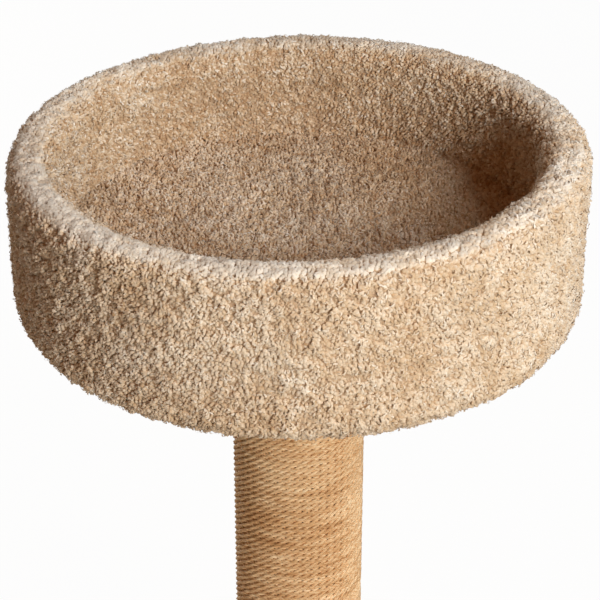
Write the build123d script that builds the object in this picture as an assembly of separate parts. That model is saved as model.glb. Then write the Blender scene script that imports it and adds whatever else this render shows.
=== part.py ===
"""Cat tree: a carpeted round bowl bed on a rope-wound post with a carpeted base.

Millimetres. Z is up, the floor is z = 0 and the post stands on the Z axis.
"""

import math
import os

from build123d import *

# Overall sizes
total_height = 813.0
bed_diameter = 457.0
bed_height = 140.0
carpet = 14.0
hem = 3.0

# Bed
hoop_thickness = 11.0
bed_board_thickness = 28.0
seam_radius = 220.0
rim_outer_rounding = 8.0
rim_inner_rounding = 16.0
bed_bottom_rounding = 18.0

# Post
tube_diameter = 101.6
tube_wall = 6.35
plug_thickness = 38.0
rope_diameter = 5.1
rope_pitch = 5.6
rope_turns = 24
rope_start = 398.0
rope_clearance = 0.15

# Base
base_width = 500.0
base_board_thickness = 18.0
base_corner = 44.0
base_edge_rounding = 11.0
hem_width = 45.0
foot_height = 10.0
foot_diameter = 36.0
foot_offset = 165.0

# Fasteners
bolt_diameter = 8.0
bolt_hole = 9.0
bolt_length = 60.0
bolt_head = 13.0
bolt_head_height = 5.3
washer_diameter = 24.0
washer_thickness = 2.0
recess_diameter = 27.0
recess_depth = 8.5
screw_diameter = 4.5
screw_length = 55.0
screw_head = 9.0
screw_circle = 28.0

# Levels and radii that follow from the sizes
bed_radius = bed_diameter / 2
hoop_outer = bed_radius - carpet
hoop_inner = hoop_outer - hoop_thickness
bed_inner = hoop_inner - carpet
rim = total_height
hoop_top = rim - carpet
bed_bottom = rim - bed_height
bed_board_low = bed_bottom + carpet
bed_board_top = bed_board_low + bed_board_thickness
bed_floor = bed_board_top + carpet
base_low = foot_height
base_top = base_low + base_board_thickness
tube_radius = tube_diameter / 2
tube_inner = tube_radius - tube_wall
rope_radius = tube_radius + rope_clearance + rope_diameter / 2
wrap_outer = rope_radius + rope_diameter / 2
rope_end = rope_start + rope_turns * rope_pitch + rope_diameter + 1.0
post_hole = wrap_outer + 1.0
hem_low = base_low - hem


def turned(points, radii=None):
    """A solid of revolution about Z from (radius, height) corners."""
    corners = [(radius, 0, height) for radius, height in points]
    if radii is None:
        outline = Polyline(*corners, close=True)
    else:
        outline = FilletPolyline(*corners, radius=radii, close=True)
    return revolve(make_face(outline.edges()), Axis.Z, 360)


def ring(outer, inner, low, high):
    """A plain ring between two heights."""
    if inner == 0:
        points = [(0, low), (outer, low), (outer, high), (0, high)]
    else:
        points = [(inner, low), (outer, low), (outer, high), (inner, high)]
    return turned(points)


def rounded_block(width, corner, low, high):
    """A square block with rounded upright corners."""
    outline = RectangleRounded(width, width, corner)
    return extrude(Pos(0, 0, low) * outline, high - low)


def group(solids):
    """Several loose solids kept as one node."""
    return Compound(children=[solid for shape in solids for solid in shape.solids()])


def around(shape, count, start=0.0):
    """Copies of a shape spaced evenly round Z."""
    step = 360 / count
    return [Rot(0, 0, start + index * step) * shape for index in range(count)]


def less(host, tools):
    """A host with the seats of its fasteners cut out."""
    for tool in tools:
        host = host - tool
    return host


def radial_nail(head_radius, length, height, shank=2.0, head=5.0):
    """A nail driven inward along X, its head flush at head_radius."""
    direction = Plane(origin=(head_radius, 0, height), z_dir=(-1, 0, 0))
    body = extrude(direction * Circle(shank / 2), length)
    cap = extrude(direction * Circle(head / 2), 1.0)
    return body + cap


def bolt(seat):
    """A hex bolt pointing up along Z, its head under the seat height."""
    hexagon = RegularPolygon(bolt_head / 2, 6, major_radius=False)
    head = extrude(Pos(0, 0, seat - bolt_head_height) * hexagon, bolt_head_height)
    shank = ring(bolt_diameter / 2, 0, seat, seat + bolt_length)
    tip = shank.edges().sort_by(Axis.Z)[-1]
    return head + chamfer(tip, 0.9)


def tee_nut(face):
    """A pronged nut whose flange lies on the height face, its barrel pointing down."""
    flange = ring(11.0, bolt_diameter / 2, face, face + 1.5)
    barrel = ring(5.0, bolt_diameter / 2, face - 9.0, face)
    prong = Pos(9.0, 0, face - 3.5) * Box(1.5, 3.0, 7.0)
    body = flange + barrel
    for copy in around(prong, 4, 45):
        body = body + copy
    return body


def wood_screw(top):
    """A countersunk screw pointing down, its head flush at the height top."""
    neck = screw_head / 2 - screw_diameter / 2
    tip = top - screw_length
    points = [(0, top), (screw_head / 2, top), (screw_diameter / 2, top - neck),
              (screw_diameter / 2, tip + 6.0), (0.4, tip), (0, tip)]
    return turned(points)


def staple(crown, leg):
    """A wire staple with its crown on z = 0 and its legs pointing up."""
    wire = 1.2
    bridge = Pos(0, 0, -0.3) * Box(crown, wire, 0.6)
    side = Pos(crown / 2 - 0.35, 0, leg / 2) * Box(0.7, wire, leg)
    return bridge + side + mirror(side, Plane.YZ)


def upside_down(shape, low, high):
    """The shape turned over between two heights."""
    return Pos(0, 0, low + high) * (Rot(180, 0, 0) * shape)


def make_rope():
    """The rope turns of the middle of the post as one unbroken tube."""
    rise = rope_pitch / (2 * math.pi)

    def point(angle):
        height = rope_start + rope_diameter / 2 + 0.5 + rise * angle
        return Vector(rope_radius * math.cos(angle), rope_radius * math.sin(angle), height)

    def heading(angle):
        slope = Vector(-rope_radius * math.sin(angle), rope_radius * math.cos(angle), rise)
        return slope.normalized()

    last = rope_turns * 2 * math.pi
    straight = rope_diameter
    first = straight / rope_radius
    angles = [first + (last - 2 * first) * step / (rope_turns * 4) for step in range(rope_turns * 4 + 1)]
    lead_in = point(angles[0]) - heading(angles[0]) * straight
    edges = [Line(lead_in, point(angles[0]))]
    for a, b in zip(angles, angles[1:]):
        p, q, s, t = point(a), point(b), heading(a), heading(b)
        chord, both = q - p, s + t
        turn = 2 * (1 - s.dot(t))
        reach = (math.sqrt(chord.dot(both) ** 2 + turn * chord.dot(chord)) - chord.dot(both)) / turn
        before, after = p + s * reach, q - t * reach
        middle = (before + after) * 0.5
        edges.append(TangentArc(p, middle, tangent=s))
        edges.append(TangentArc(middle, q, tangent=after - before))
    lead_out = point(angles[-1]) + heading(angles[-1]) * straight
    edges.append(Line(point(angles[-1]), lead_out))
    path = Wire([edge.edge() for edge in edges])
    section = Plane(origin=lead_in, z_dir=heading(angles[0])) * Circle(rope_diameter / 2)
    tube = sweep(section, path=path)

    samples = [path @ (index / 4800) for index in range(4801)]
    per_turn = 4800 // rope_turns
    least = min((samples[i] - samples[j]).length
                for i in range(0, len(samples), 3)
                for j in range(i + per_turn * 3 // 4, min(i + per_turn * 5 // 4, len(samples))))
    print("least gap of the rope turns to themselves: %.3f mm" % (least - rope_diameter))
    return tube


parts = {}

# Fasteners, made first so that their seats can be cut from the wood
bed_seat = bed_board_top - recess_depth
base_seat = base_low + recess_depth
plug_top_low = bed_board_low - plug_thickness
plug_bottom_high = base_top + plug_thickness

base_bolt = bolt(base_seat - washer_thickness)
base_washer = ring(washer_diameter / 2, bolt_diameter / 2 + 0.2, base_seat - washer_thickness, base_seat)
base_tee_nut = tee_nut(plug_bottom_high)
base_screws = around(upside_down(Pos(screw_circle, 0, 0) * wood_screw(0), base_low, 0), 3, 90)
bed_bolt = upside_down(bolt(0), bed_seat + washer_thickness, 0)
bed_washer = ring(washer_diameter / 2, bolt_diameter / 2 + 0.2, bed_seat, bed_seat + washer_thickness)
bed_tee_nut = upside_down(tee_nut(0), plug_top_low, 0)
bed_screws = around(Pos(screw_circle, 0, 0) * wood_screw(bed_board_top), 3, 90)

hoop_nails = around(radial_nail(hoop_outer - 0.1, 32.0, bed_board_low + bed_board_thickness / 2), 12, 15)
top_nails = around(radial_nail(tube_radius, 24.0, bed_board_low - plug_thickness / 2), 4, 45)
bottom_nails = around(radial_nail(tube_radius, 24.0, base_top + plug_thickness / 2), 4, 45)

wrap_staple = Rot(0, -90, 0) * staple(9.0, 9.0)
rope_staples = [Rot(0, 0, angle) * (Pos(wrap_outer, 0, height) * wrap_staple)
                for angle, height in ((90, base_top + 22.0), (100, bed_bottom - 12.0))]
hem_reach = base_width / 2 - carpet - hem_width / 2
base_staples = []
for side in range(4):
    for step in (-150, -90, -30, 30, 90, 150):
        base_staples.append(Rot(0, 0, 90 * side) * (Pos(step, -hem_reach, hem_low) * staple(10.0, 9.0)))

parts["base_bolt"] = base_bolt
parts["base_washer"] = base_washer
parts["base_tee_nut"] = base_tee_nut
parts["base_screws"] = group(base_screws)
parts["bed_bolt"] = bed_bolt
parts["bed_washer"] = bed_washer
parts["bed_tee_nut"] = bed_tee_nut
parts["bed_screws"] = group(bed_screws)
parts["hoop_nails"] = group(hoop_nails)
parts["top_plug_nails"] = group(top_nails)
parts["bottom_plug_nails"] = group(bottom_nails)
parts["rope_staples"] = group(rope_staples)
parts["base_staples"] = group(base_staples)

# Bed board and hoop
board = ring(hoop_inner, 0, bed_board_low, bed_board_top)
board = board - ring(bolt_hole / 2, 0, bed_board_low, bed_board_top)
board = board - ring(recess_diameter / 2, 0, bed_seat, bed_board_top)
parts["bed_board"] = less(board, bed_screws + hoop_nails)

hoop = ring(hoop_outer, hoop_inner, bed_board_low, hoop_top)
hoop_joint = Pos(0, (hoop_inner + hoop_outer) / 2, hoop_top) * Box(1.0, 4 * hoop_thickness, 2 * bed_height)
parts["bed_hoop"] = less(hoop - hoop_joint, hoop_nails)

# Carpet of the bed
tuck = hoop_inner - 42.0
parts["bed_outer_carpet"] = turned(
    [(tuck, bed_bottom), (bed_radius, bed_bottom), (bed_radius, rim), (seam_radius, rim),
     (hoop_outer, hoop_top), (hoop_outer, bed_board_low), (tuck, bed_board_low)],
    [0, bed_bottom_rounding, rim_outer_rounding, 0, 0, 0, 0])
parts["bed_inner_carpet"] = turned(
    [(bed_inner, bed_board_top), (hoop_inner, bed_board_top), (hoop_inner, hoop_top),
     (hoop_outer, hoop_top), (seam_radius, rim), (bed_inner, rim)],
    [0, 0, 0, 0, 0, rim_inner_rounding])
parts["bed_floor_carpet"] = ring(bed_inner, 0, bed_board_top, bed_floor)
parts["bed_under_carpet"] = ring(tuck, post_hole, bed_bottom, bed_board_low)

# Post
tube = ring(tube_radius, tube_inner, base_top, bed_board_low)
parts["post_tube"] = less(tube, top_nails + bottom_nails + rope_staples)
top_plug = ring(tube_inner, 0, plug_top_low, bed_board_low)
top_plug = top_plug - ring(bolt_hole / 2, 0, plug_top_low, bed_board_low)
parts["post_top_plug"] = less(top_plug, [bed_tee_nut] + bed_screws + top_nails)
bottom_plug = ring(tube_inner, 0, base_top, plug_bottom_high)
bottom_plug = bottom_plug - ring(bolt_hole / 2, 0, base_top, plug_bottom_high)
parts["post_bottom_plug"] = less(bottom_plug, [base_tee_nut] + base_screws + bottom_nails)

# Rope of the post, turn by turn over the stretch that is seen and plain above and below it
wrap_inner = tube_radius + rope_clearance
parts["sisal_rope_turns"] = make_rope()
parts["sisal_wrap_upper"] = less(ring(wrap_outer, wrap_inner, rope_end, bed_board_low), rope_staples)
parts["sisal_wrap_lower"] = less(ring(wrap_outer, wrap_inner, base_top, rope_start), rope_staples)

# Base
board_width = base_width - 2 * carpet
base_board = rounded_block(board_width, base_corner - carpet, base_low, base_top)
base_board = base_board - ring(bolt_hole / 2, 0, base_low, base_top)
base_board = base_board - ring(recess_diameter / 2, 0, base_low, base_seat)
foot_spots = {
    "foot_front_left": (-foot_offset, -foot_offset),
    "foot_front_right": (foot_offset, -foot_offset),
    "foot_back_left": (-foot_offset, foot_offset),
    "foot_back_right": (foot_offset, foot_offset),
}
foot_screw = upside_down(wood_screw(0), 3.0, 0)
foot_screw = foot_screw - Pos(0, 0, 22.0 + 50.0) * Box(20, 20, 100)
foot_screws = [Pos(x, y, 0) * foot_screw for x, y in foot_spots.values()]
parts["foot_screws"] = group(foot_screws)
parts["base_board"] = less(base_board, base_screws + base_staples + foot_screws)

foot = turned(
    [(0, 3.0), (screw_head / 2 + 0.5, 3.0), (screw_head / 2 + 0.5, 0), (foot_diameter / 2, 0),
     (foot_diameter / 2, base_low), (0, base_low)],
    [0, 0, 0, 2.0, 0, 0])
for name, (x, y) in foot_spots.items():
    parts[name] = less(Pos(x, y, 0) * foot, foot_screws)

cover = rounded_block(base_width, base_corner, hem_low, base_top + carpet)
cover = fillet(cover.edges().group_by(Axis.Z)[-1], base_edge_rounding)
cover = cover - rounded_block(board_width, base_corner - carpet, base_low, base_top)
cover = cover - rounded_block(board_width - 2 * hem_width, 12.0, hem_low, base_low)
cover = cover - ring(post_hole, 0, base_top, base_top + carpet)
parts["base_carpet"] = less(cover, base_staples)

os.makedirs("parts", exist_ok=True)
for name, shape in parts.items():
    export_step(shape, "parts/%s.step" % name)
print("%d parts" % len(parts))
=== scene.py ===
"""Cat tree: a carpeted bowl bed on a post wound with sisal rope, standing on a carpeted base."""

import math

import bmesh
import bpy
import numpy as np
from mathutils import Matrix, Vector, noise


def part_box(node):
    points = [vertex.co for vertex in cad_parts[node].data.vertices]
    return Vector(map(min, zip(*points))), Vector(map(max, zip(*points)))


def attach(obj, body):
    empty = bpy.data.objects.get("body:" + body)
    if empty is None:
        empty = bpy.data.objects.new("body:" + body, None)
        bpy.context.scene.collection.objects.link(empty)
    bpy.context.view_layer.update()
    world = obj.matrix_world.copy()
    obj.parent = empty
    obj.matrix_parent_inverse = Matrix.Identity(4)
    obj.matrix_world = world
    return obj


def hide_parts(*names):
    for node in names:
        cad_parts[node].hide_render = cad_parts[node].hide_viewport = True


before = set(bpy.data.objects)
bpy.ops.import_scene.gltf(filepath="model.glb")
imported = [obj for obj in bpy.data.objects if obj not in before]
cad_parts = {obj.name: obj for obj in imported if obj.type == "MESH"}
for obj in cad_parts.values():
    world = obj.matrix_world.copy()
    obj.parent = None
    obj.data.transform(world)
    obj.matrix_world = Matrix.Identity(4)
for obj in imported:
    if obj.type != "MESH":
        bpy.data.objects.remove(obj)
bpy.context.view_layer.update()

SEED = 41
draw = np.random.default_rng(SEED)

# Sizes read from the solids, in metres
OUTER_LOW, OUTER_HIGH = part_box("bed_outer_carpet")
BOARD_LOW, BOARD_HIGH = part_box("bed_board")
BASE_LOW, BASE_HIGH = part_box("base_carpet")
BED_RADIUS = OUTER_HIGH.x
RIM_Z = OUTER_HIGH.z
BED_LOW_Z = OUTER_LOW.z
BED_FLOOR_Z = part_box("bed_floor_carpet")[1].z
SEAM_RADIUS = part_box("bed_inner_carpet")[1].x
TUCK_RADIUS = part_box("bed_under_carpet")[1].x
HOOP_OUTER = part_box("bed_hoop")[1].x
HOOP_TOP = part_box("bed_hoop")[1].z
POST_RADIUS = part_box("sisal_wrap_lower")[1].x
WRAP_LOW, TURNS_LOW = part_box("sisal_wrap_lower")[0].z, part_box("sisal_wrap_lower")[1].z
TURNS_HIGH, WRAP_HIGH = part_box("sisal_wrap_upper")[0].z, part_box("sisal_wrap_upper")[1].z
BASE_HALF = BASE_HIGH.x
BASE_TOP_Z = BASE_HIGH.z

# Sizes of the solids that their boxes don't give
BED_INNER = 0.1895
HOOP_THICKNESS = 0.011
HOOP_INNER = HOOP_OUTER - HOOP_THICKNESS
BASE_CORNER = 0.044

# Roundings of the carpeted surfaces
RIM_INNER_ROUND = 0.019
RIM_OUTER_ROUND = 0.0145
BED_LOW_ROUND = 0.019
BASE_TOP_ROUND = 0.012
BASE_LOW_ROUND = 0.006

# Unevenness of the rim: a tilt that lifts its right side, and a sag at the back right
RIM_TILT = 0.0227
RIM_SAG = 0.0035
RIM_SAG_WAY = (0.6, 0.8)
INSIDE_RADIUS = BED_INNER + 0.01
RISE_MOST = 1.05

# Laps and gaps between the carpets and their neighbours
WALL_LAP = 0.003
FLOOR_LAP = 0.005
HEM_WIDTH = 0.05
WOOD_GAP = 0.0002
HOOP_GAP = 0.0003
POST_GAP = 0.002

# Spread of the yarn ends over a carpet
FINE, COARSE = 0.0027, 0.0030
ROW_RATIO = 0.9
JITTER = 0.34
LEAST_CORNER = 0.15

# Backing under the pile
BACKING_DEPTH = 0.0030
RING_STEPS = 144
SAME_PLACE = 1e-6
SLIVER = 1e-7

# Relief of the pile, each swell as (size, seed, height)
SWELLS = ((0.013, 1, 0.0009), (0.06, 2, 0.0010))
SEED_SHIFT = (7.31, 3.17, 5.73)
TUFT_SIZE = 0.0075
TUFT_STEP = TUFT_SIZE * 0.2
TUFT_SEED = 11
TUFT_RELIEF = 0.0021
YARN_RELIEF = 0.0010
BRUSHED = 0.40
BRUSH_SIZE = 0.05
BRUSH_SEEDS = (7, 8, 9)
LEAN = 0.1984
SIZE_SPREAD = 0.06

# Softness of the pile: how far its normals turn to those of the carpet
SOFTNESS = 0.35
RIM_SOFTNESS = 0.75
WISP_SOFTNESS = 0.50

# Tones of the pile, as places on the ramp of yarns, each patch as (size, seed, share)
MIDDLE_TONE = 0.50
TUFT_PAINTED_SHADE = 0.12
PATCHES = ((0.045, 3, 0.6), (0.018, 5, 0.4))
TONE_LEAST, TONE_MOST = 0.20, 0.80
WISP_PAINTED_HIGHLIGHT, WISP_MIXED = 0.10, 0.08
RAMP_LEAST, RAMP_MOST = 0.08, 0.94

# Pile on the rim, which is fuller and more even than the rest, paler as painted light, and with its painted
# root shade lifted
RIM_STEEPEST = 0.70
RIM_RAMP = 0.20
RIM_DEPTH = 0.03
RIM_FADE = 0.35
RIM_FULLEST_AND_MOST_PAINTED_LIGHT_WAY = (-0.5, -0.87)
RIM_PAINTED_LIGHT = 0.43
RIM_ROOT_SHADE_LIFT = 0.9
SHADELESS_PLACE = 0.98
RIM_CALM = 0.9
RIM_FULLER = 0.25
RIM_UPRIGHT = 0.5
RIM_EVEN = 0.6
PAINTED_LIGHT_AT_TOP, PAINTED_LIGHT_GAIN, PAINTED_LIGHT_LEAST = 1.3, 1.4, 0.25

# Rope of three strands, with the angles at which a strand has points as it twists
ROPE_PITCH = 0.0056
ROPE_LAY = 0.021316
ROPE_END = 0.003
STRANDS = 3
STRAND_RADIUS = 0.00160
STRAND_OUT = 0.00130
STRAND_IN_SHARE = 0.5
STRAND_UP = 0.00260
ROPE_CENTRE = POST_RADIUS - STRAND_OUT - STRAND_RADIUS
TWIST_DRIFT = 0.45
DRIFT_RATE = 0.4
DRIFT_SEED = 3.3
FINE_PHASES = (-90, -54, -18, 18, 54, 90, 150, 210)
PLAIN_PHASES = (-90, -45, 0, 45, 90, 180)
BAKE_SPAN, BAKE_MARGIN, BAKE_PAST = 0.94, 0.03, 0.02


class Wire:
    """A socket of a finish, with the sums that the finishes need."""

    def __init__(self, finish, socket):
        self.finish = finish
        self.socket = socket

    def sum(self, operation, first, second):
        return self.finish.node("ShaderNodeMath", {"operation": operation}, {0: first, 1: second})

    def __add__(self, other):
        return self.sum("ADD", self, other)

    def __radd__(self, other):
        return self.sum("ADD", other, self)

    def __mul__(self, other):
        return self.sum("MULTIPLY", self, other)


class Finish:
    """A material under construction."""

    def __init__(self, name):
        self.material = bpy.data.materials.new(name)
        self.material.use_nodes = True
        self.tree = self.material.node_tree
        self.tree.nodes.clear()

    def node(self, kind, settings=None, inputs=None, output=0):
        made = self.tree.nodes.new(kind)
        for key, value in (settings or {}).items():
            if key == "stops":
                self.set_stops(made.color_ramp, value)
            else:
                setattr(made, key, value)
        for key, value in (inputs or {}).items():
            if isinstance(value, Wire):
                self.tree.links.new(value.socket, made.inputs[key])
            else:
                made.inputs[key].default_value = value
        return Wire(self, made.outputs[output]) if made.outputs else made

    @staticmethod
    def set_stops(ramp, stops):
        while len(ramp.elements) < len(stops):
            ramp.elements.new(0.5)
        for element, (place, colour) in zip(ramp.elements, stops):
            element.position = place
            element.color = (*colour, 1.0)

    def ramp(self, factor, stops):
        return self.node("ShaderNodeValToRGB", {"stops": stops}, {"Fac": factor})

    def noise(self, place, scale, detail=3.0, roughness=0.55):
        inputs = {"Vector": place, "Scale": scale, "Detail": detail, "Roughness": roughness}
        return self.node("ShaderNodeTexNoise", None, inputs)

    def stretched(self, place, scale, turn=(0.0, 0.0, 0.0)):
        return self.node("ShaderNodeMapping", None, {"Vector": place, "Scale": scale, "Rotation": turn})

    def object_place(self):
        return self.node("ShaderNodeTexCoord", output="Object")

    def uv_place(self, layer):
        return self.node("ShaderNodeUVMap", {"uv_map": layer})

    def blend(self, factor, first, second, kind="MIX"):
        settings = {"data_type": "RGBA", "blend_type": kind}
        return self.node("ShaderNodeMix", settings, {0: factor, 6: first, 7: second}, 2)

    def bump(self, height, strength, distance):
        inputs = {"Height": height, "Strength": strength, "Distance": distance}
        return self.node("ShaderNodeBump", None, inputs)

    def surface(self, **inputs):
        """Ends the finish. The inputs have the shader's names, in small letters."""
        named = {}
        for key, value in inputs.items():
            named[key.replace("_", " ").title().replace("Ior", "IOR")] = value
        shader = self.node("ShaderNodeBsdfPrincipled", None, named)
        self.node("ShaderNodeOutputMaterial", None, {"Surface": shader})
        return self.material


def tint(red, green, blue):
    """A colour given as it looks on a screen, 0 to 255, in the light's own numbers."""
    shares = (red / 255, green / 255, blue / 255)
    return tuple(s / 12.92 if s <= 0.04 else ((s + 0.055) / 1.055) ** 2.4 for s in shares)


# Finishes
YARNS = [
    (0.00, tint(140, 104, 72)),
    (0.18, tint(182, 146, 108)),
    (0.40, tint(208, 180, 146)),
    (0.65, tint(224, 204, 178)),
    (0.85, tint(236, 222, 202)),
    (1.00, tint(242, 232, 217)),
]
# Painted shade: the yarns darken towards their roots, where the depth of the pile lies in shade
PAINTED_ROOT_SHADE = [
    (0.00, (0.88, 0.80, 0.69)),
    (0.50, (0.95, 0.91, 0.87)),
    (0.92, (1.0, 1.0, 1.0)),
]
FIBRE_LEAN = math.radians(36.0)


def pile_finish():
    """Cut yarn ends: the tone runs along the map's width, root to tip along its height, and the roots are
    darkened as painted shade.
    """
    finish = Finish("cut_pile")
    parts = finish.uv_place("PileTone")
    split = finish.node("ShaderNodeSeparateXYZ", None, {"Vector": parts})
    along = Wire(finish, split.socket.node.outputs[1])
    yarn = finish.ramp(split, YARNS)
    shade = finish.ramp(along, PAINTED_ROOT_SHADE)
    colour = finish.blend(1.0, yarn, shade, "MULTIPLY")
    return finish.surface(base_color=colour, roughness=0.95, specular_ior_level=0.05,
                          sheen_weight=0.25, sheen_roughness=0.5, sheen_tint=(1.0, 0.90, 0.78, 1.0))


def painted_shade_backing_finish():
    """The carpet between the yarn ends, coloured darker than the yarns as painted shade of the pile's depth.
    """
    finish = Finish("pile_depth_painted_shade")
    place = finish.object_place()
    grain = finish.noise(place, 420.0)
    patch = finish.noise(place, 30.0)
    colour = finish.ramp(grain * 0.7 + patch * 0.3, [
        (0.30, tint(168, 136, 104)), (0.50, tint(194, 164, 132)), (0.72, tint(214, 188, 158))])
    normal = finish.bump(grain, 0.8, 0.002)
    return finish.surface(base_color=colour, roughness=0.97, specular_ior_level=0.1, normal=normal)


def sisal_finish():
    """Twisted sisal: fine fibres along the strands, with paler and browner lengths."""
    finish = Finish("sisal")
    place = finish.uv_place("RopeWrap")
    fibre_place = finish.stretched(place, (90.0, 1500.0, 1.0), (0.0, 0.0, -FIBRE_LEAN))
    fibre = finish.noise(fibre_place, 1.0, 2.0)
    length = finish.noise(finish.stretched(place, (18.0, 170.0, 1.0)), 1.0, 2.0)
    patch = finish.noise(finish.stretched(place, (9.0, 12.0, 1.0)), 1.0, 2.0)
    tone = fibre * 0.50 + length * 0.30 + patch * 0.20
    colour = finish.ramp(tone, [
        (0.30, tint(152, 98, 52)), (0.45, tint(206, 158, 108)),
        (0.56, tint(236, 200, 154)), (0.72, tint(252, 232, 198))])
    rough = 0.5 + fibre * 0.25
    return finish.surface(base_color=colour, roughness=rough, specular_ior_level=0.10)


def softwood_finish():
    """Bare pale boards with a straight grain."""
    finish = Finish("softwood")
    place = finish.object_place()
    grain = finish.noise(finish.stretched(place, (6.0, 90.0, 90.0)), 1.0, 4.0)
    pore = finish.noise(finish.stretched(place, (40.0, 900.0, 900.0)), 1.0, 2.0)
    colour = finish.ramp(grain * 0.8 + pore * 0.2, [
        (0.30, tint(176, 128, 80)), (0.52, tint(208, 168, 116)), (0.70, tint(226, 194, 148))])
    normal = finish.bump(pore, 0.25, 0.0005)
    rough = 0.62 + grain * 0.2
    return finish.surface(base_color=colour, roughness=rough, specular_ior_level=0.35, normal=normal)


def tube_finish():
    """Brown board, flecked and clouded."""
    finish = Finish("spiral_board")
    place = finish.object_place()
    fleck = finish.noise(place, 700.0, 3.0)
    cloud = finish.noise(place, 24.0, 3.0)
    tone = fleck * 0.5 + cloud * 0.5
    colour = finish.ramp(tone, [(0.32, tint(140, 104, 70)), (0.66, tint(182, 142, 102))])
    normal = finish.bump(fleck, 0.2, 0.0004)
    return finish.surface(base_color=colour, roughness=0.85, specular_ior_level=0.25, normal=normal)


def zinc_finish():
    """Zinc-plated fasteners with a faint spangle."""
    finish = Finish("zinc_plate")
    place = finish.object_place()
    spangle = finish.noise(place, 380.0, 2.0)
    colour = finish.ramp(spangle, [(0.35, tint(176, 176, 170)), (0.65, tint(214, 214, 210))])
    return finish.surface(base_color=colour, metallic=1.0, roughness=0.28 + spangle * 0.22)


def foot_finish():
    """Dark moulded plastic, scuffed a little."""
    finish = Finish("foot_plastic")
    place = finish.object_place()
    grain = finish.noise(place, 1600.0, 2.0)
    scuff = finish.noise(finish.stretched(place, (60.0, 160.0, 60.0)), 1.0, 4.0)
    colour = finish.ramp(scuff, [(0.45, tint(38, 36, 34)), (0.75, tint(58, 55, 51))])
    normal = finish.bump(grain, 0.15, 0.0003)
    return finish.surface(base_color=colour, roughness=0.45 + scuff * 0.25, normal=normal)


PILE_FINISH = pile_finish()
PAINTED_SHADE_BACKING = painted_shade_backing_finish()
SISAL_FINISH = sisal_finish()
SOFTWOOD = softwood_finish()
SPIRAL_BOARD = tube_finish()
ZINC = zinc_finish()
FOOT_PLASTIC = foot_finish()


def mesh_of(bm, name):
    """The mesh of a shape, which is then freed."""
    mesh = bpy.data.meshes.new(name)
    bm.to_mesh(mesh)
    bm.free()
    return mesh


def piece(name, mesh, finish, slot, *nodes):
    """Puts a finished mesh in the scene as a piece of the tree."""
    made = bpy.data.objects.new(name, mesh)
    bpy.context.scene.collection.objects.link(made)
    mesh.materials.clear()
    mesh.materials.append(finish)
    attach(made, "root")
    if nodes:
        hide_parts(*nodes)
    return made


# Outlines of the carpeted surfaces, as (radius, height)
def rounded(corners, radii, step=0.0015):
    """A line through the corners with each one rounded, cut into short steps."""
    line = [np.array(corners[0])]
    for before, corner, after, radius in zip(corners, corners[1:], corners[2:], radii):
        here = Vector(corner)
        back, ahead = (Vector(before) - here).normalized(), (Vector(after) - here).normalized()
        half = back.angle(ahead) / 2
        reach = radius / math.tan(half)
        centre = here + (back + ahead).normalized() * (radius / math.sin(half))
        start, end = here + back * reach - centre, here + ahead * reach - centre
        first = math.atan2(start.y, start.x)
        sweep = (math.atan2(end.y, end.x) - first + math.pi) % (2 * math.pi) - math.pi
        bits = max(3, int(radius * abs(sweep) / step))
        for bit in range(bits + 1):
            angle = first + sweep * bit / bits
            spoke = np.array((math.cos(angle), math.sin(angle)))
            line.append(np.array(centre) + radius * spoke)
    line.append(np.array(corners[-1]))
    return np.array(line)


RIM_CORNERS = [
    (BED_INNER, BED_FLOOR_Z - WALL_LAP), (BED_INNER, RIM_Z), (BED_RADIUS, RIM_Z),
    (BED_RADIUS, BED_LOW_Z), (TUCK_RADIUS, BED_LOW_Z)]
BASE_CORNERS = [
    (0.0, BASE_TOP_Z), (BASE_HALF, BASE_TOP_Z), (BASE_HALF, BASE_LOW.z), (BASE_HALF - HEM_WIDTH, BASE_LOW.z)]
RIM_LINE = rounded(RIM_CORNERS, [RIM_INNER_ROUND, RIM_OUTER_ROUND, BED_LOW_ROUND])
SEAM_INDEX = int(np.argmax(RIM_LINE[:, 0] > SEAM_RADIUS))
INNER_LINE = RIM_LINE[:SEAM_INDEX + 1]
OUTER_LINE = RIM_LINE[SEAM_INDEX:]
FLOOR_LINE = np.array([(0.0, BED_FLOOR_Z), (BED_INNER + FLOOR_LAP, BED_FLOOR_Z)])
UNDER_LINE = np.array([(TUCK_RADIUS, BED_LOW_Z), (POST_RADIUS + POST_GAP, BED_LOW_Z)])
BASE_LINE = rounded(BASE_CORNERS, [BASE_TOP_ROUND, BASE_LOW_ROUND])


def distances_along(line):
    """How far along a line each of its points lies."""
    runs = np.diff(line, axis=0)
    return np.concatenate([[0.0], np.cumsum(np.hypot(runs[:, 0], runs[:, 1]))])


def walk(line, distances):
    """Radius and height along a line at the given distances, and both parts of the outward normal."""
    marks = distances_along(line)
    radius = np.interp(distances, marks, line[:, 0])
    height = np.interp(distances, marks, line[:, 1])
    runs = np.diff(line, axis=0)
    spot = np.clip(np.searchsorted(marks, distances, side="right") - 1, 0, len(runs) - 1)
    way = runs[spot] / np.hypot(runs[:, 0], runs[:, 1])[spot][:, None]
    return radius, height, -way[:, 1], way[:, 0]


def lumps(places, size, seed):
    """A slow random swell at each place, about -1 to 1."""
    shift = Vector([seed * part for part in SEED_SHIFT])
    return np.array([noise.noise(Vector(place) / size + shift) for place in places])


def rim_rise(places):
    """How far the hand-made rim stands above or below level at each place."""
    inside = np.hypot(places[:, 0], places[:, 1]) < INSIDE_RADIUS
    low = np.where(inside, BED_FLOOR_Z, BED_LOW_Z)
    share = np.clip((places[:, 2] - low) / (RIM_Z - low), 0.0, RISE_MOST)
    sag = np.clip(places[:, :2] @ RIM_SAG_WAY / BED_RADIUS, 0, 1) * RIM_SAG
    return share * (places[:, 0] * RIM_TILT - sag)


def circle(size, share):
    """Places and outward directions round a circle."""
    angle = share * 2 * math.pi
    way = np.stack([np.cos(angle), np.sin(angle)], 1)
    return way * size[:, None], way


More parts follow.
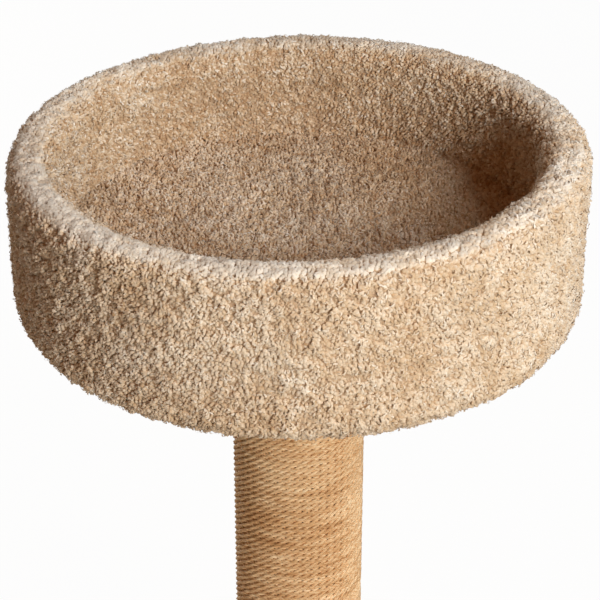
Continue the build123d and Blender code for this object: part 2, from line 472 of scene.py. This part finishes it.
def round_square(size, share):
    """Places and outward directions round a square with rounded corners, size being half its width."""
    corner = np.clip(BASE_CORNER - (BASE_HALF - size), size * LEAST_CORNER, size)
    flat = 2 * (size - corner)
    bend = corner * math.pi / 2
    quarter = flat + bend
    gone = (share % 1.0) * 4 * quarter
    side = np.floor(gone / quarter)
    gone = gone - side * quarter
    on_bend = gone > flat
    turn = np.where(on_bend, (gone - flat) / np.maximum(corner, 1e-9), 0.0)
    x = np.where(on_bend, size - corner + corner * np.cos(turn), size)
    y = np.where(on_bend, size - corner + corner * np.sin(turn), gone - flat / 2)
    angle = side * math.pi / 2
    cos, sin = np.cos(angle), np.sin(angle)
    place = np.stack([x * cos - y * sin, x * sin + y * cos], 1)
    way = np.stack([np.cos(angle + turn), np.sin(angle + turn)], 1)
    return place, way


# Length round each outline, for a size of 1
GIRTHS = {circle: 2 * math.pi, round_square: 8 - 2 * (4 - math.pi) * BASE_CORNER / BASE_HALF}


def scatter(line, spacing, outline=circle):
    """Yarn places and normals spread over the surface that a line makes as it goes round an outline."""
    total = distances_along(line)[-1]
    rows = max(1, round(total / (spacing * ROW_RATIO)))
    places, normals = [], []
    for row in range(rows):
        middle = (row + 0.5) * total / rows
        count = max(1, round(GIRTHS[outline] * walk(line, np.array([middle]))[0][0] / spacing))
        jitter = draw.uniform(-JITTER, JITTER, (count, 2))
        share = (np.arange(count) + jitter[:, 0] + 0.5 * (row % 2)) / count
        along = np.clip(middle + jitter[:, 1] * total / rows, 0.0, total)
        size, height, out, up = walk(line, along)
        place, way = outline(size, share)
        places.append(np.column_stack([place, height]))
        normals.append(np.column_stack([way * out[:, None], up]))
    return np.concatenate(places), np.concatenate(normals)


# Yarn ends: rings at (depth under the tip, share of the width, place from root to tip), the place setting
# how much painted root shade each ring gets
ROUND_TIP = ((-0.0042, 1.0, 0.06), (-0.0011, 0.95, 0.72))
FLAT_TIP = ((-0.0042, 1.0, 0.06), (-0.0008, 0.95, 0.72))
SHORT_TIP = ((-0.0040, 1.15, 0.25),)
CROWN_PLACE = 0.97
CROWN_BEND = 1.35
CROWN_TONES = (-0.06, 0.12)
CROWN_ASIDE = (-0.3, 0.3)
RING_TONES = (-0.07, 0.07)
RING_WIDTHS = (0.72, 1.28)
RING_DEPTHS = (0.8, 1.2)
SIDE_STEP = 0.004
YARN_SHAPES = 16
YARN_BENDS = (0.0, 0.9)

# Loose curls, with their ends narrower and lower than their middle
WISP_SHAPES = 24
WISP_REACH = (0.0028, 0.0042)
WISP_RISE = (0.0004, 0.0010)
WISP_WIDTH = (0.00050, 0.00085)
WISP_BENDS = (-0.9, 0.9)
WISP_ASIDE = 0.5
WISP_END_WIDTH = 0.35
WISP_END_DROP = 0.6
# A curl's map places run from root to tip, which sets its painted root shade
WISP_PLACE, WISP_RUN = 0.84, 0.12
WISP_TONE_ACROSS, WISP_TONE_ALONG = 0.02, 0.01


def arrays_of(bm, tones):
    """Points, normals, triangles and map places of a small shape, which is then freed."""
    bm.verts.index_update()
    bm.normal_update()
    verts = np.array([vert.co for vert in bm.verts])
    normals = np.array([vert.normal for vert in bm.verts])
    faces = np.array([[vert.index for vert in face.verts] for face in bm.faces])
    maps = np.array([tones[vert] for vert in bm.verts])
    bm.free()
    return verts, normals, faces, maps


def yarn_end(bend, thick, sides, levels):
    """One cut yarn end on its root: a bent tuft of uneven fibres with a crown."""
    bm = bmesh.new()
    ring = bmesh.ops.create_circle(bm, cap_ends=False, segments=sides, radius=1.0)["verts"]
    rings = [ring]
    edges = list({edge for vert in ring for edge in vert.link_edges})
    for _ in levels[1:]:
        grown = bmesh.ops.extrude_edge_only(bm, edges=edges)["geom"]
        rings.append([item for item in grown if isinstance(item, bmesh.types.BMVert)])
        edges = [item for item in grown if isinstance(item, bmesh.types.BMEdge)]
    tip = bmesh.ops.contextual_create(bm, geom=edges)["faces"]
    crown = bmesh.ops.poke(bm, faces=tip)["verts"][0]
    tones = {crown: (draw.uniform(*CROWN_TONES), CROWN_PLACE)}
    for (depth, wide, along), ring in zip(levels, rings):
        ring.sort(key=lambda vert: math.atan2(vert.co.y, vert.co.x))
        for side, vert in enumerate(ring):
            reach = thick * wide * draw.uniform(*RING_WIDTHS)
            low = depth * draw.uniform(*RING_DEPTHS)
            vert.co = Vector((vert.co.x * reach + bend * thick * along, vert.co.y * reach, low))
            tones[vert] = (draw.uniform(*RING_TONES), along + SIDE_STEP * side)
    crown.co = Vector((bend * thick * CROWN_BEND, draw.uniform(*CROWN_ASIDE) * thick, 0.0))
    bmesh.ops.triangulate(bm, faces=bm.faces)
    bmesh.ops.recalc_face_normals(bm, faces=bm.faces)
    return arrays_of(bm, tones)


def yarn_set(thin, thick, sides, levels):
    """Yarn ends of different bends and widths."""
    shapes = []
    for _ in range(YARN_SHAPES):
        bend = draw.uniform(*YARN_BENDS)
        shapes.append(yarn_end(bend, draw.uniform(thin, thick), sides, levels))
    return shapes


def curl(reach, rise, wide):
    """A few fibres that leave a yarn end and lie over the next ones: a narrow, bent ribbon facing out."""
    bm = bmesh.new()
    bmesh.ops.create_grid(bm, x_segments=3, y_segments=1, size=1.0)
    bend = draw.uniform(*WISP_BENDS)
    tones = {}
    for vert in bm.verts:
        along, side = (vert.co.x + 1) / 2, vert.co.y
        swell = math.sin(math.pi * along)
        half = wide * (WISP_END_WIDTH + (1 - WISP_END_WIDTH) * swell)
        across = bend * reach * (0.5 - swell) * WISP_ASIDE + side * half
        up = rise * ((1 + WISP_END_DROP) * swell - WISP_END_DROP)
        vert.co = Vector((reach * (along - 0.5), across, up))
        tone = WISP_TONE_ACROSS * side + WISP_TONE_ALONG * along
        tones[vert] = (tone, WISP_PLACE + WISP_RUN * along)
    bmesh.ops.triangulate(bm, faces=bm.faces)
    return arrays_of(bm, tones)


def wisp_set():
    """Curls of different lengths, heights and widths."""
    shapes = []
    for _ in range(WISP_SHAPES):
        reach = draw.uniform(*WISP_REACH)
        rise = draw.uniform(*WISP_RISE)
        shapes.append(curl(reach, rise, draw.uniform(*WISP_WIDTH)))
    return shapes


FULL_YARNS = yarn_set(thin=0.00118, thick=0.00165, sides=5, levels=ROUND_TIP)
FLAT_YARNS = yarn_set(thin=0.00106, thick=0.00148, sides=5, levels=FLAT_TIP)
SHORT_YARNS = yarn_set(thin=0.0018, thick=0.0023, sides=4, levels=SHORT_TIP)
WISPS = wisp_set()


def stand_up(normals, lean):
    """Turns that stand a yarn end on each normal, leaning at random."""
    count = len(normals)
    sideways = draw.normal(0.0, 1.0, (count, 3))
    axis = normals + sideways * lean[:, None]
    axis /= np.linalg.norm(axis, axis=1)[:, None]
    side = np.cross(axis, draw.normal(0.0, 1.0, (count, 3)))
    side /= np.linalg.norm(side, axis=1)[:, None]
    return np.stack([side, np.cross(axis, side), axis], 2)


def stamp(yarns, places, ups, turns, sizes, tones, rim):
    """Copies of the yarn ends at every place, as arrays of points, normals, triangles and map places."""
    verts, normals, faces, maps, count = [], [], [], [], 0
    choice = draw.integers(0, len(yarns), len(places))
    for index, (shape, facing, sides, tone_map) in enumerate(yarns):
        mine = np.flatnonzero(choice == index)
        if not len(mine):
            continue
        turned = np.einsum("nij,vj->nvi", turns[mine], shape)
        points = turned * sizes[mine][:, None, None] + places[mine][:, None, :]
        soft = (SOFTNESS + (RIM_SOFTNESS - SOFTNESS) * rim[mine])[:, None, None]
        if yarns is WISPS:
            soft = WISP_SOFTNESS
        facings = np.einsum("nij,vj->nvi", turns[mine], facing) * (1 - soft) + ups[mine][:, None, :] * soft
        spread = np.repeat(tone_map[None], len(mine), 0)
        spread[:, :, 0] += tones[mine][:, None]
        # On the rim the map places move towards the tip, so the painted root shade is lifted there
        spread[:, :, 1] += (SHADELESS_PLACE - spread[:, :, 1]) * rim[mine][:, None] * RIM_ROOT_SHADE_LIFT
        verts.append(points.reshape(-1, 3))
        normals.append(facings.reshape(-1, 3))
        maps.append(spread.reshape(-1, 2))
        starts = count + np.arange(len(mine)) * len(shape)
        faces.append((sides[None] + starts[:, None, None]).reshape(-1, 3))
        count += len(mine) * len(shape)
    return np.concatenate(verts), np.concatenate(normals), np.concatenate(faces), np.concatenate(maps)


def triangle_mesh(name, verts, normals, faces, maps, layer):
    """A mesh from arrays, with its map twice: once for the finish and once for baking."""
    mesh = bpy.data.meshes.new(name)
    mesh.vertices.add(len(verts))
    mesh.vertices.foreach_set("co", verts.astype(np.float32).ravel())
    mesh.loops.add(len(faces) * 3)
    mesh.loops.foreach_set("vertex_index", faces.astype(np.int32).ravel())
    mesh.polygons.add(len(faces))
    mesh.polygons.foreach_set("loop_start", np.arange(0, len(faces) * 3, 3, dtype=np.int32))
    corner_maps = maps[faces.ravel()].astype(np.float32).ravel()
    for map_name in (layer, "OFBake"):
        mesh.uv_layers.new(name=map_name).data.foreach_set("uv", corner_maps)
    mesh.update(calc_edges=True)
    mesh.shade_smooth()
    normals = normals / np.linalg.norm(normals, axis=1)[:, None]
    mesh.normals_split_custom_set_from_vertices(normals.astype(np.float32))
    return mesh


def tufted(places, normals):
    """The height of the gathered tufts at each place, and the pile's normals on them."""
    height = lumps(places, TUFT_SIZE, TUFT_SEED)
    rises = [lumps(places + TUFT_STEP * axis, TUFT_SIZE, TUFT_SEED) - height for axis in np.eye(3)]
    slope = np.stack(rises, 1) / TUFT_STEP * TUFT_RELIEF
    slope -= normals * np.sum(slope * normals, 1)[:, None]
    brushed = np.stack([lumps(places, BRUSH_SIZE, seed) for seed in BRUSH_SEEDS], 1)
    ups = normals - slope + brushed * BRUSHED
    return height * TUFT_RELIEF, ups / np.linalg.norm(ups, axis=1)[:, None]


def tone_of(places, base, swing, mixed):
    """The yarn tone at each place: mixed yarns, paler and browner patches, and painted shade that darkens
    the lower tufts and lightens the higher ones.
    """
    strands = draw.normal(MIDDLE_TONE, mixed, len(places))
    # The same swell that sets each tuft's height: painted shade in the hollows between tufts
    tufts = lumps(places, TUFT_SIZE, TUFT_SEED)
    patch = sum(lumps(places, size, seed) * share for size, seed, share in PATCHES)
    return np.clip(strands + base + tufts * TUFT_PAINTED_SHADE + swing * patch, TONE_LEAST, TONE_MOST)


def rim_share(places, normals):
    """How far each place belongs to the rim, most at the front left; this share sets the rim's painted light
    and its fuller, calmer yarns.
    """
    flat = np.clip((normals[:, 2] - RIM_STEEPEST) / RIM_RAMP, 0, 1) * (places[:, 2] > RIM_Z - RIM_DEPTH)
    towards = np.clip(places[:, :2] @ RIM_FULLEST_AND_MOST_PAINTED_LIGHT_WAY / BED_RADIUS, 0, 1)
    return flat * (1 - RIM_FADE * (1 - towards))


def rim_painted_light(places, normals, rim):
    """How much painted light the rim gets at each place, less where it turns into the bowl."""
    radius = np.maximum(np.hypot(places[:, 0], places[:, 1]), 1e-6)
    facing_out = np.sum(normals[:, :2] * places[:, :2], 1) / radius
    return rim * np.clip(PAINTED_LIGHT_AT_TOP + PAINTED_LIGHT_GAIN * facing_out, PAINTED_LIGHT_LEAST, 1.0)


def lay_pile(name, places, normals, yarns, pieces, base=0.0, swing=0.22, mixed=0.06, lift=None, loose=0.0):
    """Carpet pile over the given places, in sectors, with a share of loose curls away from the rim."""
    rim = rim_share(places, normals)
    curled = np.flatnonzero(draw.random(len(places)) < loose * (1 - rim))
    picks = np.concatenate([np.arange(len(places)), curled])
    on_top = np.arange(len(picks)) >= len(places)
    places, normals, rim = places[picks], normals[picks], rim[picks]
    swell = sum(lumps(places, size, seed) * height for size, seed, height in SWELLS)
    relief, ups = tufted(places, normals)
    sizes = draw.uniform(1 - SIZE_SPREAD, 1 + SIZE_SPREAD, len(places)) * (1 + RIM_FULLER * rim)
    rough = (relief + draw.uniform(-YARN_RELIEF, YARN_RELIEF, len(places))) * (1 - RIM_CALM * rim)
    roots = places + normals * (swell + rough)[:, None]
    if lift is not None:
        roots[:, 2] += lift(places)
    turns = stand_up(ups, LEAN * (1 - RIM_UPRIGHT * rim))
    # The rim's yarns are made paler: painted light on the rim
    painted_light = rim_painted_light(places, normals, rim)
    tones = tone_of(places, base + RIM_PAINTED_LIGHT * painted_light, swing, mixed * (1 - RIM_EVEN * rim))
    # Loose curls are made paler: painted highlight on their fibres
    tones += np.where(on_top, draw.normal(WISP_PAINTED_HIGHLIGHT, WISP_MIXED, len(places)), 0.0)
    tones = np.clip(tones, RAMP_LEAST, RAMP_MOST)
    round_share = np.arctan2(places[:, 1], places[:, 0]) / (2 * math.pi) + 0.5
    sector = np.floor(round_share * pieces).astype(int) % pieces
    for index in range(pieces):
        label = name if pieces == 1 else "%s_%d" % (name, index + 1)
        copies, count = [], 0
        for shapes, wanted in ((yarns, ~on_top), (WISPS, on_top)):
            mine = np.flatnonzero((sector == index) & wanted)
            if len(mine):
                verts, facing, faces, maps = stamp(shapes, roots[mine], ups[mine], turns[mine], sizes[mine],
                                                   tones[mine], rim[mine])
                copies.append((verts, facing, faces + count, maps))
                count += len(verts)
        merged = [np.concatenate(parts) for parts in zip(*copies)]
        piece(label, triangle_mesh(label, *merged, "PileTone"), PILE_FINISH, "carpet")


def backing_ring(name, line, close, node, lift=None):
    """The carpet under the yarn ends, in painted shade: a closed ring whose pile side lies a little under
    the pile's tips.
    """
    shares = np.linspace(0.0, 1.0, max(2, len(line) - 1) + 1)
    steps = zip(*walk(line, shares * distances_along(line)[-1]))
    inset = [(r - out * BACKING_DEPTH, z - up * BACKING_DEPTH) for r, z, out, up in steps]
    bm = bmesh.new()
    points = [bm.verts.new((max(r, 0.0), 0.0, z)) for r, z in inset + close]
    edges = [bm.edges.new((p, q)) for p, q in zip(points, points[1:] + points[:1])]
    bmesh.ops.spin(bm, geom=points + edges, cent=(0, 0, 0), axis=(0, 0, 1), angle=2 * math.pi,
                   steps=RING_STEPS, use_merge=True)
    bmesh.ops.remove_doubles(bm, verts=bm.verts, dist=SAME_PLACE)
    bmesh.ops.dissolve_degenerate(bm, edges=bm.edges, dist=SLIVER)
    bmesh.ops.recalc_face_normals(bm, faces=bm.faces)
    if lift is not None:
        for vert in bm.verts:
            vert.co.z += float(lift(np.array([vert.co]))[0])
    mesh = mesh_of(bm, name)
    mesh.shade_smooth()
    return piece(name, mesh, PAINTED_SHADE_BACKING, "carpet", node)


# Bed
OVER_HOOP = HOOP_TOP + WOOD_GAP
OVER_BOARD = BOARD_HIGH.z + WOOD_GAP
UNDER_BOARD = BOARD_LOW.z - WOOD_GAP
BY_HOOP = HOOP_OUTER + HOOP_GAP
BY_POST = POST_RADIUS + POST_GAP

backing_ring("bed_inner_backing", INNER_LINE,
             [(HOOP_OUTER, OVER_HOOP), (HOOP_INNER, OVER_HOOP), (HOOP_INNER, OVER_BOARD)],
             "bed_inner_carpet", rim_rise)
# base darkens the bowl's inner wall: painted shade inside the bowl
lay_pile("bed_inner_pile", *scatter(INNER_LINE, FINE), FLAT_YARNS, 3,
         base=-0.13, swing=0.34, mixed=0.16, lift=rim_rise, loose=0.4)
backing_ring("bed_outer_backing", OUTER_LINE,
             [(TUCK_RADIUS, UNDER_BOARD), (BY_HOOP, UNDER_BOARD), (BY_HOOP, HOOP_TOP)],
             "bed_outer_carpet", rim_rise)
lay_pile("bed_outer_pile", *scatter(OUTER_LINE, FINE), FULL_YARNS, 5,
         swing=0.30, lift=rim_rise, loose=0.4)
backing_ring("bed_floor_backing", FLOOR_LINE,
             [(BED_INNER, OVER_BOARD), (0.0, OVER_BOARD)],
             "bed_floor_carpet")
# base darkens the bowl's floor: painted shade inside the bowl
lay_pile("bed_floor_pile", *scatter(FLOOR_LINE, FINE), FLAT_YARNS, 3,
         base=-0.09, swing=0.28, mixed=0.11, loose=0.5)
backing_ring("bed_under_backing", UNDER_LINE,
             [(BY_POST, UNDER_BOARD), (TUCK_RADIUS, UNDER_BOARD)],
             "bed_under_carpet")
lay_pile("bed_under_pile", *scatter(UNDER_LINE, COARSE), SHORT_YARNS, 1)


# Post
def strand_points(low, high, turn, phases):
    """The middle of a strand between two heights, twisting round the rope on its way round the post."""
    rate = ROPE_CENTRE * 2 * math.pi / ROPE_LAY
    first, last = (height / ROPE_PITCH * 2 * math.pi * rate + turn for height in (low, high))
    twists = np.arange(math.floor(first / (2 * math.pi)), math.ceil(last / (2 * math.pi)))
    phase = (twists[:, None] * 2 * math.pi + np.radians(phases)[None]).ravel()
    phase = np.concatenate([[first], phase[(phase > first) & (phase < last)], [last]])
    angle = (phase - turn) / rate
    drift = np.array([noise.noise(Vector((a * DRIFT_RATE, DRIFT_SEED, 0.0))) for a in angle])
    twist = phase + TWIST_DRIFT * drift
    reach = STRAND_OUT * np.where(np.cos(twist) > 0, 1.0, STRAND_IN_SHARE)
    radius = ROPE_CENTRE + reach * np.cos(twist)
    height = angle * ROPE_PITCH / (2 * math.pi) + STRAND_UP * np.sin(twist)
    return np.stack([radius * np.cos(angle), radius * np.sin(angle), height, np.ones(len(angle))], 1)


def strand(low, high, turn, phases):
    """One of the rope's strands between two heights, as a mesh."""
    points = strand_points(low, high, turn, phases)
    curve = bpy.data.curves.new("strand", "CURVE")
    curve.dimensions = "3D"
    curve.bevel_depth = STRAND_RADIUS
    curve.bevel_resolution = 0
    curve.use_fill_caps = True
    line = curve.splines.new("POLY")
    line.points.add(len(points) - 1)
    line.points.foreach_set("co", points.astype(np.float32).ravel())
    holder = bpy.data.objects.new("strand", curve)
    mesh = bpy.data.meshes.new_from_object(holder)
    bpy.data.objects.remove(holder)
    bpy.data.curves.remove(curve)
    return mesh


def map_rope(mesh, low, high):
    """Gives the rope one map in metres round the post for its finish, and one for baking."""
    corners = np.zeros(len(mesh.loops), np.int32)
    mesh.loops.foreach_get("vertex_index", corners)
    places = np.zeros(len(mesh.vertices) * 3, np.float32)
    mesh.vertices.foreach_get("co", places)
    places = places.reshape(-1, 3)[corners]
    around = np.arctan2(places[:, 0], -places[:, 1])
    starts = np.zeros(len(mesh.polygons), np.int32)
    mesh.polygons.foreach_get("loop_start", starts)
    owner = np.repeat(around[starts], np.diff(np.append(starts, len(corners))))
    around = owner + (around - owner + math.pi) % (2 * math.pi) - math.pi
    share = np.clip((places[:, 2] - low) / (high - low), -BAKE_PAST, 1 + BAKE_PAST)
    while mesh.uv_layers:
        mesh.uv_layers.remove(mesh.uv_layers[0])
    wraps = {
        "RopeWrap": (around * POST_RADIUS, places[:, 2]),
        "OFBake": (0.5 + around / (2 * math.pi) * BAKE_SPAN, BAKE_MARGIN + BAKE_SPAN * share),
    }
    for layer, (across, up) in wraps.items():
        values = np.stack([across, up], 1).astype(np.float32).ravel()
        mesh.uv_layers.new(name=layer).data.foreach_set("uv", values)


def wind_rope(name, low, high, phases, node):
    """The rope's turns round the post between two heights."""
    bm = bmesh.new()
    for number in range(STRANDS):
        mesh = strand(low, high, number * 2 * math.pi / STRANDS, phases)
        bm.from_mesh(mesh)
        bpy.data.meshes.remove(mesh)
    mesh = mesh_of(bm, name)
    map_rope(mesh, low, high)
    mesh.shade_smooth()
    return piece(name, mesh, SISAL_FINISH, "sisal", node)


wind_rope("post_rope_lower", WRAP_LOW + ROPE_END, TURNS_LOW, PLAIN_PHASES, "sisal_wrap_lower")
wind_rope("post_rope_turns", TURNS_LOW, TURNS_HIGH, FINE_PHASES, "sisal_rope_turns")
wind_rope("post_rope_upper", TURNS_HIGH, WRAP_HIGH - ROPE_END, PLAIN_PHASES, "sisal_wrap_upper")

# Base
BASE_BACKING_LIFT = 0.001
BASE_BACKING_ROUND = 0.007
CORNER_SEGMENTS, TOP_SEGMENTS = 10, 4
HEM_INSET = 0.053
HEM_HEIGHT = 0.006


def bevel(bm, edges, width, segments):
    """Rounds the given edges."""
    bmesh.ops.bevel(bm, geom=edges, offset=width, offset_type="OFFSET", affect="EDGES",
                    segments=segments, profile=0.5, material=-1)


def base_backing():
    """The base's carpet under its yarn ends, in painted shade, turned under the board as a hem."""
    bm = bmesh.new()
    bmesh.ops.create_cube(bm, size=1.0)
    width = 2 * (BASE_HALF - BACKING_DEPTH)
    low, high = BASE_LOW.z + BASE_BACKING_LIFT, BASE_TOP_Z - BACKING_DEPTH
    bmesh.ops.scale(bm, verts=bm.verts, vec=(width, width, high - low))
    bmesh.ops.translate(bm, verts=bm.verts, vec=(0, 0, (low + high) / 2))
    upright = [edge for edge in bm.edges if abs(edge.verts[0].co.z - edge.verts[1].co.z) > 0.01]
    bevel(bm, upright, BASE_CORNER - BACKING_DEPTH, CORNER_SEGMENTS)
    top = [edge for edge in bm.edges if min(vert.co.z for vert in edge.verts) > high - 1e-5]
    bevel(bm, top, BASE_BACKING_ROUND, TOP_SEGMENTS)
    lowest = [face for face in bm.faces if face.calc_center_median().z < low + 1e-4]
    under = [face for face in lowest if face.normal.z < -0.9]
    bmesh.ops.inset_region(bm, faces=under, thickness=HEM_INSET, depth=0.0)
    inner = list({vert for face in under for vert in face.verts})
    bmesh.ops.translate(bm, verts=inner, vec=(0, 0, HEM_HEIGHT))
    return piece("base_backing", mesh_of(bm, "base_backing"), PAINTED_SHADE_BACKING, "carpet", "base_carpet")


base_backing()
places, normals = scatter(BASE_LINE, COARSE, round_square)
clear = np.hypot(places[:, 0], places[:, 1]) > POST_RADIUS + POST_GAP
lay_pile("base_pile", places[clear], normals[clear], SHORT_YARNS, 3)

# Finishes of the solids that stay
KEPT = {
    SOFTWOOD: ("bed_hoop", "bed_board", "post_top_plug", "post_bottom_plug", "base_board"),
    SPIRAL_BOARD: ("post_tube",),
    ZINC: ("hoop_nails", "top_plug_nails", "bottom_plug_nails", "rope_staples", "base_staples",
           "bed_bolt", "bed_washer", "bed_tee_nut", "bed_screws",
           "base_bolt", "base_washer", "base_tee_nut", "base_screws", "foot_screws"),
    FOOT_PLASTIC: ("foot_front_left", "foot_front_right", "foot_back_left", "foot_back_right"),
}
for finish, nodes in KEPT.items():
    for node in nodes:
        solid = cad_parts[node]
        solid.data.materials.clear()
        solid.data.materials.append(finish)


# Studio, each lamp with its azimuth and elevation in degrees, width, power and colour
SEEN_BY = ("Camera", "Glossy", "Transmission")
WHITE = (1.0, 1.0, 1.0, 1.0)
FLOOR_COLOUR = (0.72, 0.56, 0.40, 1.0)
FLOOR_RADIUS, FLOOR_SEGMENTS = 9.0, 64
# Close to the base the floor glows less, so the real shadow shows there, and the floor is darker there
# anyway as painted shade
SHADOW_FULL, SHADOW_GONE = 0.34, 0.47
WHITE_SHARES = [(SHADOW_FULL, (0.80, 0.80, 0.80)), (SHADOW_GONE, (0.97, 0.97, 0.97))]
WORLD_COLOUR = (1.0, 0.76, 0.54, 1.0)
WORLD_LIGHT = 0.02
BED_MIDDLE = Vector((0.0, 0.0, 0.70))
LAMP_DISTANCE = 2.8
LAMPS = {
    "key": (28, 25, 0.8, 54.0, (0.98, 1.0, 1.02)),
    "low_front": (15, 14, 0.8, 15.0, (0.85, 1.05, 1.18)),
    "high_right": (60, 50, 1.2, 17.0, (1.02, 0.97, 0.94)),
    "high_left": (-30, 50, 1.2, 7.0, (1.0, 0.40, 0.14)),
    "side": (110, 35, 1.2, 19.0, (0.82, 1.02, 1.32)),
    "left_edge": (-146, 4, 1.2, 36.0, (0.95, 1.01, 1.04)),
}


def make_floor():
    """A white floor that shows the tree's shadow close to the base, where it glows less and so is darker
    even out of the shadow: painted shade round the base.
    """
    finish = Finish("studio_floor")
    rays = finish.node("ShaderNodeLightPath").socket.node.outputs
    camera_ray, glossy_ray, clear_ray = (Wire(finish, rays["Is %s Ray" % kind]) for kind in SEEN_BY)
    away = finish.node("ShaderNodeVectorMath", {"operation": "LENGTH"}, {0: finish.object_place()}, "Value")
    white = finish.ramp(away, WHITE_SHARES)
    diffuse = finish.node("ShaderNodeBsdfDiffuse", None, {"Color": FLOOR_COLOUR})
    glow = finish.node("ShaderNodeEmission", None, {"Color": WHITE, "Strength": 1.0})
    share = (camera_ray + glossy_ray + clear_ray) * white
    both = finish.node("ShaderNodeMixShader", None, {0: share, 1: diffuse, 2: glow})
    finish.node("ShaderNodeOutputMaterial", None, {"Surface": both})
    bm = bmesh.new()
    bmesh.ops.create_circle(bm, cap_ends=True, segments=FLOOR_SEGMENTS, radius=FLOOR_RADIUS)
    mesh = mesh_of(bm, "studio_floor")
    mesh.materials.append(finish.material)
    floor = bpy.data.objects.new("studio_floor", mesh)
    bpy.context.scene.collection.objects.link(floor)


def make_world():
    """A faint warm light from all round that looks white."""
    world = bpy.data.worlds.new("studio")
    bpy.context.scene.world = world
    world.use_nodes = True
    tree = world.node_tree
    tree.nodes.clear()
    path = tree.nodes.new("ShaderNodeLightPath")
    soft = tree.nodes.new("ShaderNodeBackground")
    soft.inputs["Color"].default_value = WORLD_COLOUR
    soft.inputs["Strength"].default_value = WORLD_LIGHT
    white = tree.nodes.new("ShaderNodeBackground")
    white.inputs["Color"].default_value = WHITE
    surface = soft.outputs[0]
    for kind in SEEN_BY:
        mix = tree.nodes.new("ShaderNodeMixShader")
        tree.links.new(path.outputs["Is %s Ray" % kind], mix.inputs[0])
        tree.links.new(surface, mix.inputs[1])
        tree.links.new(white.outputs[0], mix.inputs[2])
        surface = mix.outputs[0]
    out = tree.nodes.new("ShaderNodeOutputWorld")
    tree.links.new(surface, out.inputs[0])


def make_lamp(name, azimuth, elevation, width, power, colour):
    """A round soft lamp that looks at the bed, its azimuth to the right of the front."""
    turn, rise = math.radians(azimuth), math.radians(elevation)
    way = Vector((math.sin(turn) * math.cos(rise), -math.cos(turn) * math.cos(rise), math.sin(rise)))
    light = bpy.data.lights.new(name, "AREA")
    light.shape = "DISK"
    light.size = width
    light.energy = power
    light.color = colour
    holder = bpy.data.objects.new(name, light)
    holder.location = BED_MIDDLE + way * LAMP_DISTANCE
    holder.rotation_euler = way.to_track_quat("Z", "Y").to_euler()
    bpy.context.scene.collection.objects.link(holder)


make_floor()
make_world()
for name, settings in LAMPS.items():
    make_lamp(name, *settings)

# Camera, as fitted to the photo
CAMERA_LENS, CAMERA_SENSOR = 118.7, 36.0
CAMERA_PLACE = (0.0014, -1.4112, 1.4678)
CAMERA_DOWN = 29.6
CAMERA_REACH = 50.0

camera = bpy.data.cameras.new("camera")
camera.sensor_width = CAMERA_SENSOR
camera.lens = CAMERA_LENS
camera.clip_end = CAMERA_REACH
camera_holder = bpy.data.objects.new("camera", camera)
camera_holder.location = CAMERA_PLACE
camera_holder.rotation_euler = (math.radians(90.0 - CAMERA_DOWN), 0.0, 0.0)
bpy.context.scene.collection.objects.link(camera_holder)
bpy.context.scene.camera = camera_holder
bpy.context.scene.view_settings.view_transform = "Standard"
